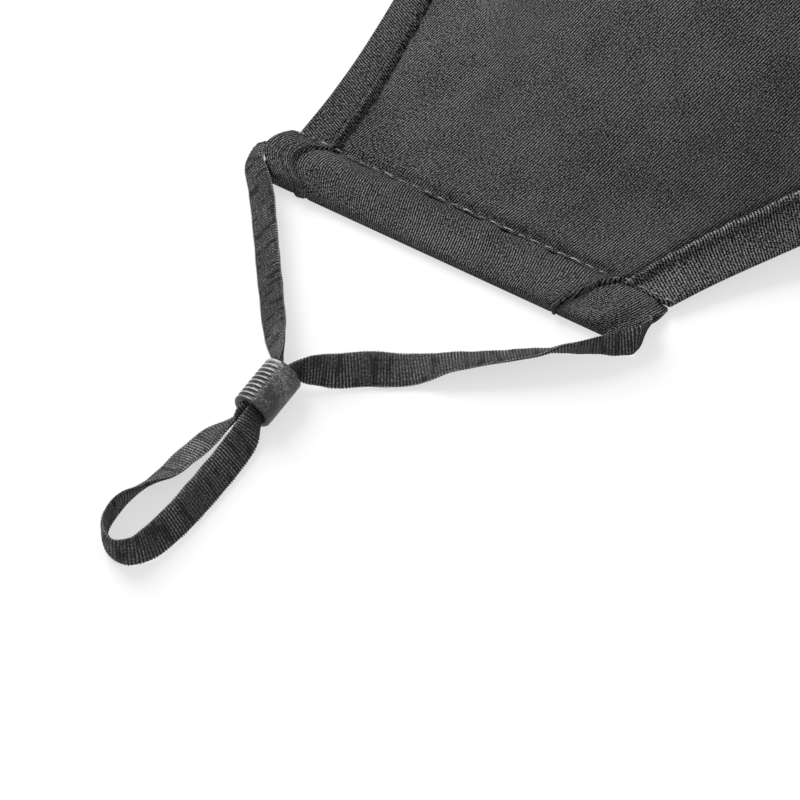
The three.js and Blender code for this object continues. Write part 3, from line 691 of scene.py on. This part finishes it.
def routeStation(row, s):
    # middle of the band, the direction of its width, and half of its width
    out, noseward, lift, bearing, lean, width = row
    b, l, half = math.radians(bearing), math.radians(lean), width * s["width"] / 2
    direction = (outward * math.cos(b) + downSide * math.sin(b)) * math.cos(l) + upward * math.sin(l)
    rest = half * abs(math.sin(l)) + s["thickness"] / 2 * math.cos(l)
    middle = casingCentre + outward * out * s["reach"] - downSide * noseward * sideHalf
    return middle + upward * (rest + lift * s["width"]), direction, half


def casingStation(noseward, s):
    middle = casingCentre - downSide * noseward * sideHalf + upward * casingLooks["height"] / 2
    return middle, outward, s["width"] / 2


def adjusterStation(place, side, tilt, s):
    t = math.radians(tilt)
    middle = adjusterCentre + adjusterAxis * place + adjusterSide * side * s["spacing"] / 2
    return middle, upward * math.cos(t) + adjusterSide * math.sin(t), s["pinched"] / 2


def strapStations(s):
    # once round: through the casing, to the adjuster, round the free loop and back
    reach = adjusterLooks["length"] / 2 + 0.4
    stations = [casingStation(0, s), casingStation(0.65, s)] + [routeStation(row, s) for row in upperRun]
    stations += [adjusterStation(place, 1.3, tilt, s) for place, tilt in ((-reach, 12), (0, 12), (reach, 18))]
    stations += [routeStation(row, s) for row in smallLoop]
    stations += [adjusterStation(place, -1.1, tilt, s) for place, tilt in ((reach, 44), (0, 20), (-reach, 12))]
    return stations + [routeStation(row, s) for row in lowerRun] + [casingStation(-0.6, s)]


def closedCurve(points, centripetal, perSpan=40):
    # smooth closed curve through the points, sampled evenly in each span
    points = np.array(points, float)
    n, out = len(points), []
    w = np.linspace(0, 1, perSpan, endpoint=False)[:, None]
    for i in range(n):
        p0, p1, p2, p3 = (points[(i + k) % n] for k in (-1, 0, 1, 2))
        if centripetal:
            d0, d1, d2 = (np.linalg.norm(b - a) ** 0.5 for a, b in ((p0, p1), (p1, p2), (p2, p3)))
            t1 = ((p1 - p0) / d0 - (p2 - p0) / (d0 + d1) + (p2 - p1) / d1) * d1
            t2 = ((p2 - p1) / d1 - (p3 - p1) / (d1 + d2) + (p3 - p2) / d2) * d1
        else:
            t1, t2 = 0.3 * (p2 - p0), 0.3 * (p3 - p1)
        out.append(p1 + t1 * w + (-3 * p1 + 3 * p2 - 2 * t1 - t2) * w ** 2 + (2 * p1 - 2 * p2 + t1 + t2) * w ** 3)
    return np.concatenate(out)


def resampleClosed(curves, count):
    closed = [np.concatenate([c, c[:1]]) for c in curves]
    run = edgeRun(closed[0])
    at = np.linspace(0, run[-1], count, endpoint=False)
    return [np.stack([np.interp(at, run, column) for column in c.T], 1) for c in closed], at, run[-1]


def buildStrap(s):
    middles, directions, halves = zip(*strapStations(s))
    curves = [closedCurve(middles, True), closedCurve(directions, False), closedCurve([[h] for h in halves], False)]
    (middle, direction, half), at, total = resampleClosed(curves, s["samples"])
    tangent = unit(np.roll(middle, -3, 0) - np.roll(middle, 3, 0))
    across = unit(direction - tangent * np.sum(direction * tangent, 1, keepdims=True))
    face = unit(np.cross(tangent, across))
    rest = half[:, 0] * np.abs(across[:, 2]) + s["thickness"] / 2 * np.abs(face[:, 2])
    middle[:, 2] = np.maximum(middle[:, 2], rest)
    phase = 2 * math.pi * at / (total / round(total / s["rib"]))
    # round the section: thinner at its edges, a bump of each rib on both faces
    k = np.linspace(-1, 1, s["faceColumns"])
    fat = (1 - np.abs(k) ** 5) ** 0.5
    rib = s["ribDepth"] * (0.5 + 0.5 * np.cos(phase))[:, None] * (0.4 + 0.6 * fat)[None]
    curl = (s["curl"] * waves(at, s["curlPitch"], 61)[:, None] * k[None] ** 2
            + s["edgeCurl"] * waves(at, s["edgeCurlPitch"], 62)[:, None] * (k[None] > 0))
    edge = 1 + (s["edgeSwell"] * (0.5 + 0.5 * np.cos(phase + 0.6)))[:, None] * (np.abs(k) > 0.9)[None]
    thick = np.maximum(s["thickness"] / 2 * fat[None] + rib - s["ribDepth"] * 0.4, s["leastHalf"])
    spine = middle[:, None] + across[:, None] * (k[None] * half * edge)[..., None]
    top, low = (spine + face[:, None] * (sign * thick + curl)[..., None] for sign in (1, -1))
    rings = np.concatenate([top, low[:, ::-1]], 1)
    rings[..., 2] = np.maximum(rings[..., 2], 0.0)
    v = k * s["width"] / 2
    edges = [(rings[:, column], unit(across * sign)) for column, sign in ((0, -1), (len(k) - 1, 1))]
    return rings, uvFrom(np.append(at, total), np.concatenate([v, (v + s["underShift"])[::-1], v[:1]])), edges


strapRings, strapUv, strapEdges = buildStrap(strapLooks)
straps = bothSides("strap", strapRings, True, strapUv, elasticFinish)
print("straps made")


def buildAdjuster(s):
    # closed profile turned round the axis: ribs outside, a rounded ring at each end, a smooth bore
    half, r, bore, deep, soft = s["length"] / 2, s["radius"], s["bore"], s["ribDepth"], s["boreRound"]
    pitch = (s["length"] - 2 * s["endRing"]) / s["ribs"]
    profile = [(bore, -half + soft), (bore + soft, -half)] + [(r - b, -half + i) for b, i in s["firstEnd"]]
    for rib in range(s["ribs"]):
        start = -half + s["endRing"] + rib * pitch
        profile += [(r - deep * depth, start + share * pitch) for share, depth in s["ribShape"]]
    profile += [(r - deep, half - s["endRing"])] + [(r - b, half - i) for b, i in s["lastEnd"]]
    profile = np.array(profile + [(bore + soft, half), (bore, half - soft)])
    out, place = profile[None, :, 0], profile[None, :, 1]
    angle = np.linspace(0, 2 * math.pi, s["sides"], endpoint=False)[:, None]
    facing = np.cos(angle - math.radians(s["ribbedTurn"]))
    ribbed = s["plainShare"] + s["ribbedShare"] * smooth((facing - s["ribbedFrom"]) / s["ribbedOver"])
    isRib = (out > r - deep - 0.01) * (np.abs(place) < half - 1.0)
    radius = out + np.minimum(r - out, deep) * isRib * (1 - ribbed)
    radius = radius * (1 + s["squeeze"] * np.sin(2 * angle + 0.6))
    pts = (adjusterCentre + adjusterAxis * place[..., None] + adjusterSide * (radius * np.cos(angle))[..., None]
           + upward * (radius * np.sin(angle))[..., None])
    pts[..., 2] = np.maximum(pts[..., 2], 0.0)
    run = edgeRun(np.concatenate([pts[0], pts[0][:1]]))
    # painted highlight: the crests of the standing ribs, on the ribbed side, are marked for the pale crest colour
    crest = smooth((out - r + deep * 0.45) / (deep * 0.5)) * smooth((ribbed - 0.45) / 0.5)
    return pts, uvFrom(np.append(angle, 2 * math.pi) * r, run), crest * (np.abs(place) < half - 0.3)


adjusterPts, adjusterUv, adjusterCrestHighlight = buildAdjuster(adjusterLooks)
adjusters = bothSides("adjuster", adjusterPts, True, adjusterUv, rubberFinish, marks={"crest": adjusterCrestHighlight})
print("adjusters made")


stitchLooks = {
    "Stitch Length": 0.0018, "Pitch": 0.0027, "Thread": 0.0001, "Bow": 0.00014, "Least Scale": 0.5, "Seed": 7,
}
sideStitchLooks = {**stitchLooks, "Seed": 9, "Thread": 0.00013}
picotLooks = {"Pitch": 0.00056, "Size": (0.00017, 0.0001, 0.00015), "Least Scale": 0.8, "Seed": 3}


def pathTree(name, sizes, makeOne, mostTurn=(0.08, 0.1, 0.14), mostScale=1.12):
    # lays one small shape along a path of points, turned to the path and to its "up" directions
    tree = bpy.data.node_groups.new(name, "GeometryNodeTree")
    face = tree.interface
    kinds = {"Path": "Geometry", **sizes, "Seed": "Int", "Finish": "Material"}
    for size, kind in kinds.items():
        face.new_socket(size, in_out="INPUT", socket_type="NodeSocket" + kind)
    face.new_socket("Laid", in_out="OUTPUT", socket_type="NodeSocketGeometry")
    g = Graph(tree)
    start = g.node("NodeGroupInput")
    given = {n: g.outputs(start, n) for n in kinds}
    curve = g.node("GeometryNodeMeshToCurve", {"Mesh": given["Path"]})
    spaced = g.node("GeometryNodeResampleCurve", {"Curve": curve, "Length": given["Pitch"]}, mode="LENGTH")
    points = g.node("GeometryNodeCurveToPoints", {"Curve": spaced}, mode="EVALUATED")
    tangent = g.outputs(points, "Tangent")
    up = g.node("GeometryNodeInputNamedAttribute", {"Name": "up"}, out="Attribute", data_type="FLOAT_VECTOR")
    alongPath = g.node("FunctionNodeAlignRotationToVector", {"Vector": tangent}, axis="X")
    upright = g.node("FunctionNodeAlignRotationToVector", {"Rotation": alongPath, "Vector": up},
                     axis="Z", pivot_axis="X")
    leastTurn = tuple(-a for a in mostTurn)
    jitter = g.node("FunctionNodeRandomValue", {"Min": leastTurn, "Max": mostTurn, "Seed": given["Seed"]},
                    out="Value", data_type="FLOAT_VECTOR")
    turned = g.node("FunctionNodeRotateRotation", {"Rotation": upright, "Rotate By": jitter}, rotation_space="LOCAL")
    scale = g.node("FunctionNodeRandomValue", {2: given["Least Scale"], 3: mostScale, "Seed": given["Seed"]},
                   out=1, data_type="FLOAT")
    laid = g.node("GeometryNodeInstanceOnPoints",
                  {"Points": points, "Instance": makeOne(g, given), "Rotation": turned, "Scale": scale})
    real = g.node("GeometryNodeRealizeInstances", {"Geometry": laid})
    dressed = g.node("GeometryNodeSetMaterial", {"Geometry": real, "Material": given["Finish"]})
    end = tree.nodes.new("NodeGroupOutput")
    tree.links.new(dressed.socket, end.inputs[0])
    return tree


def oneStitch(g, given, rise=2.4):
    # a short bowed tube of thread, its ends sunk in the cloth
    half, bow = given["Stitch Length"] * 0.5, given["Bow"]
    left = g.node("ShaderNodeCombineXYZ", {"X": -half, "Z": -bow})
    right = g.node("ShaderNodeCombineXYZ", {"X": half, "Z": -bow})
    middle = g.node("ShaderNodeCombineXYZ", {"Z": bow * rise})
    arc = g.node("GeometryNodeCurveQuadraticBezier",
                 {"Resolution": 6, "Start": left, "Middle": middle, "End": right})
    section = g.node("GeometryNodeCurvePrimitiveCircle", {"Resolution": 6, "Radius": given["Thread"]})
    return g.node("GeometryNodeCurveToMesh", {"Curve": arc, "Profile Curve": section, "Fill Caps": True})


def onePicot(g, given):
    # the small loop of thread at the end of each knitted rib
    bead = g.node("GeometryNodeMeshUVSphere", {"Segments": 6, "Rings": 4, "Radius": 1.0})
    return g.node("GeometryNodeTransform", {"Geometry": bead, "Scale": given["Size"]})


def layAlong(name, paths, tree, looks, finish, closed=False):
    # paths is a list of (points, ups) in millimetres
    verts, edges, ups = [], [], []
    for pts, up in paths:
        first = len(verts)
        verts += (pts * 0.001).tolist()
        ups += up.tolist()
        edges += [(first + k, first + k + 1) for k in range(len(pts) - 1)]
        edges += [(first + len(pts) - 1, first)] if closed else []
    mesh = bpy.data.meshes.new(name + "_path")
    mesh.from_pydata(verts, edges, [])
    mesh.attributes.new("up", "FLOAT_VECTOR", "POINT").data.foreach_set("vector", np.array(ups).ravel())
    holder = placed(name + "_path", mesh)
    modifier = holder.modifiers.new("laid", "NODES")
    modifier.node_group = tree
    values = {**looks, "Finish": finish}
    for item in tree.interface.items_tree:
        if item.item_type == "SOCKET" and item.in_out == "INPUT" and item.name in values:
            modifier[item.identifier] = values[item.name]
    bpy.context.view_layer.update()
    made = bpy.data.meshes.new_from_object(holder.evaluated_get(bpy.context.evaluated_depsgraph_get()))
    bpy.data.objects.remove(holder)
    made.materials.clear()
    return finishPiece(name, made, finish)


stitchLines = {
    "bindingSpan": (0.004, 0.998), "bindingPoints": 260, "bindingSink": 0.1,
    "seamSpan": (0.1, 0.915), "seamPoints": 200, "seamAway": 2.4, "seamSink": 0.16,
    "casingEnds": (0.4, 0.5), "casingPoints": 190, "casingOut": -5.85, "casingHeight": 2.0,
    "lift": 0.09, "casingLift": 0.13,
}


def bindingStitches(fromNose, s):
    width = maskShape["noseBinding" if fromNose else "chinBinding"]
    along = np.linspace(*s["bindingSpan"], s["bindingPoints"])
    run, acrossOf = clothRuns(along)
    d = np.full((len(along), 1), width - bindingLooks["stitchInset"])
    across = acrossOf(run[:, -1:] - d if fromNose else d)
    n = clothNormal(along[:, None], across)[:, 0]
    return clothPoint(along[:, None], across)[:, 0] + n * (bindingLooks["half"] - s["bindingSink"]), n


def seamStitches(s):
    m = maskShape
    across = np.linspace(*s["seamSpan"], s["seamPoints"])
    along = np.full_like(across, 1 - s["seamAway"] / ((m["halfNoseEdge"] + m["halfChinEdge"]) / 2))
    n = clothNormal(along, across)
    return clothPoint(along, across) + n * (m["halfCloth"] - s["seamSink"]), n


def casingStitches(s):
    # along the inner side of the casing, from the nose edge to the chin edge
    first, last = s["casingEnds"]
    down = np.linspace(-sideHalf + first, sideHalf - last, s["casingPoints"])
    line = sidePoint(np.full_like(down, s["casingOut"]), down, np.full_like(down, s["casingHeight"]))
    return line, np.repeat(upward[None], len(down), 0)


def laidOn(pieces, line, lift, above=6):
    # a path dropped onto the highest of the pieces under it
    graph = bpy.context.evaluated_depsgraph_get()
    trees = [BVHTree.FromObject(piece, graph) for piece in pieces]
    pts, normals = (np.array(a) for a in line)
    for k, (point, normal) in enumerate(zip(pts, normals)):
        start = Vector((point + normal * above) / 1000)
        hits = [tree.ray_cast(start, Vector(-normal), 2 * above / 1000) for tree in trees]
        depths = [hit[3] * 1000 for hit in hits if hit[0] is not None]
        if depths:
            pts[k] = point + normal * (above - min(depths) + lift)
    for _ in range(2):
        pts[1:-1] = (pts[:-2] + pts[1:-1] + pts[2:]) / 3
    return pts, normals


stitchSizes = ("Stitch Length", "Pitch", "Thread", "Bow", "Least Scale")
stitchTree = pathTree("stitchesAlongPath", {size: "Float" for size in stitchSizes}, oneStitch)
picotTree = pathTree("picotsAlongEdge", {"Pitch": "Float", "Least Scale": "Float", "Size": "Vector"}, onePicot)
bpy.context.view_layer.update()
lift = stitchLines["lift"]
edgeLines = [laidOn(bindings, bindingStitches(fromNose, stitchLines), lift) for fromNose in (True, False)]
edgeLines.append(laidOn(panels[:1], seamStitches(stitchLines), lift))
sideLines = [laidOn([panels[0], casings[0]] + bindings, casingStitches(stitchLines), stitchLines["casingLift"])]
stitches, sideStitches, picots = [], [], []
for side in ("left", "right"):
    turned = lambda paths: paths if side == "left" else [(mirrored(p), mirrored(n)) for p, n in paths]
    stitches.append(layAlong(side + "_stitches", turned(edgeLines), stitchTree, stitchLooks, darkThread))
    sideStitches.append(layAlong(side + "_casing_stitches", turned(sideLines), stitchTree, sideStitchLooks, paleThread))
    picots.append(layAlong(side + "_picots", turned(strapEdges), picotTree, picotLooks, picotThread, closed=True))
print("stitches and picots made:", [len(s.data.polygons) for s in stitches + sideStitches + picots])


for piece, node, slot in (
    (panels[0], "mask_panel_left", "cloth"), (panels[1], "mask_panel_right", "cloth"),
    (bindings[0], "nose_edge_binding", "binding"), (bindings[1], "chin_edge_binding", "binding"),
    (casings[0], "strap_casing_left", "cloth"), (casings[1], "strap_casing_right", "cloth"),
    (straps[0], "ear_strap_left", "elastic"), (straps[1], "ear_strap_right", "elastic"),
    (adjusters[0], "strap_adjuster_left", "soft_rubber"), (adjusters[1], "strap_adjuster_right", "soft_rubber"),
):
    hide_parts(node)
    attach(piece, "root")
for piece, slot in [(s, "cloth") for s in stitches + sideStitches] + [(p, "elastic") for p in picots]:
    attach(piece, "root")


shot = {
    "azimuth": -40.0, "elevation": 58.0, "distance": 0.62, "across": 0.139, "target": (-0.125, -0.029, 0.0),
    "sensor": 36.0,
}
lightLooks = {
    "world": 0.95, "key": 15.0, "keySize": 0.5, "keyFrom": (0.08, 0.7, 0.64),
}
floorLooks = {
    "tone": 0.21, "glow": 0.62, "half": 3.0, "top": -0.0001,
    "bump": 0.02, "depth": 0.0001, "roughness": 0.91, "roughnessSpread": 0.02, "shine": 0.1,
}


def makeFloor(s):
    mesh = bpy.data.meshes.new("floor")
    w, z = s["half"], s["top"]
    mesh.from_pydata([(-w, -w, z), (w, -w, z), (w, w, z), (-w, w, z)], [], [(0, 1, 2, 3)])
    material, g = newMaterial("whiteFloor")
    soft = solidNoise(g, 30.0, 2.0)
    colour = mixTones(g, soft, s["tone"] * 0.98, s["tone"] * 1.02)
    finishMaterial(g, s, colour, soft, soft, {"Emission Color": (1, 1, 1, 1), "Emission Strength": s["glow"]})
    mesh.materials.append(material)
    placed("floor", mesh)


def makeLights(s):
    world = bpy.data.worlds.new("studio")
    world.use_nodes = True
    background = world.node_tree.nodes["Background"].inputs
    background["Color"].default_value = (1, 1, 1, 1)
    background["Strength"].default_value = s["world"]
    bpy.context.scene.world = world
    light = bpy.data.lights.new("softWindow", "AREA")
    light.shape, light.size, light.energy = "SQUARE", s["keySize"], s["key"]
    lamp = placed("softWindow", light)
    target = Vector(shot["target"])
    lamp.location = target + Vector(s["keyFrom"])
    lamp.rotation_euler = (target - lamp.location).to_track_quat("-Z", "Y").to_euler()


def makeCamera(s):
    a, e = math.radians(s["azimuth"]), math.radians(s["elevation"])
    look = Vector((-math.sin(a) * math.cos(e), math.cos(a) * math.cos(e), -math.sin(e)))
    data = bpy.data.cameras.new("camera")
    data.sensor_fit, data.sensor_width = "HORIZONTAL", s["sensor"]
    data.lens = s["sensor"] * s["distance"] / s["across"]
    data.clip_start, data.clip_end = 0.01, 20
    camera = placed("camera", data)
    camera.location = Vector(s["target"]) - look * s["distance"]
    camera.rotation_euler = look.to_track_quat("-Z", "Y").to_euler()
    bpy.context.scene.camera = camera


bpy.context.scene.view_settings.view_transform = "Standard"
makeFloor(floorLooks)
makeLights(lightLooks)
makeCamera(shot)
bpy.context.view_layer.update()
print("scene ready")
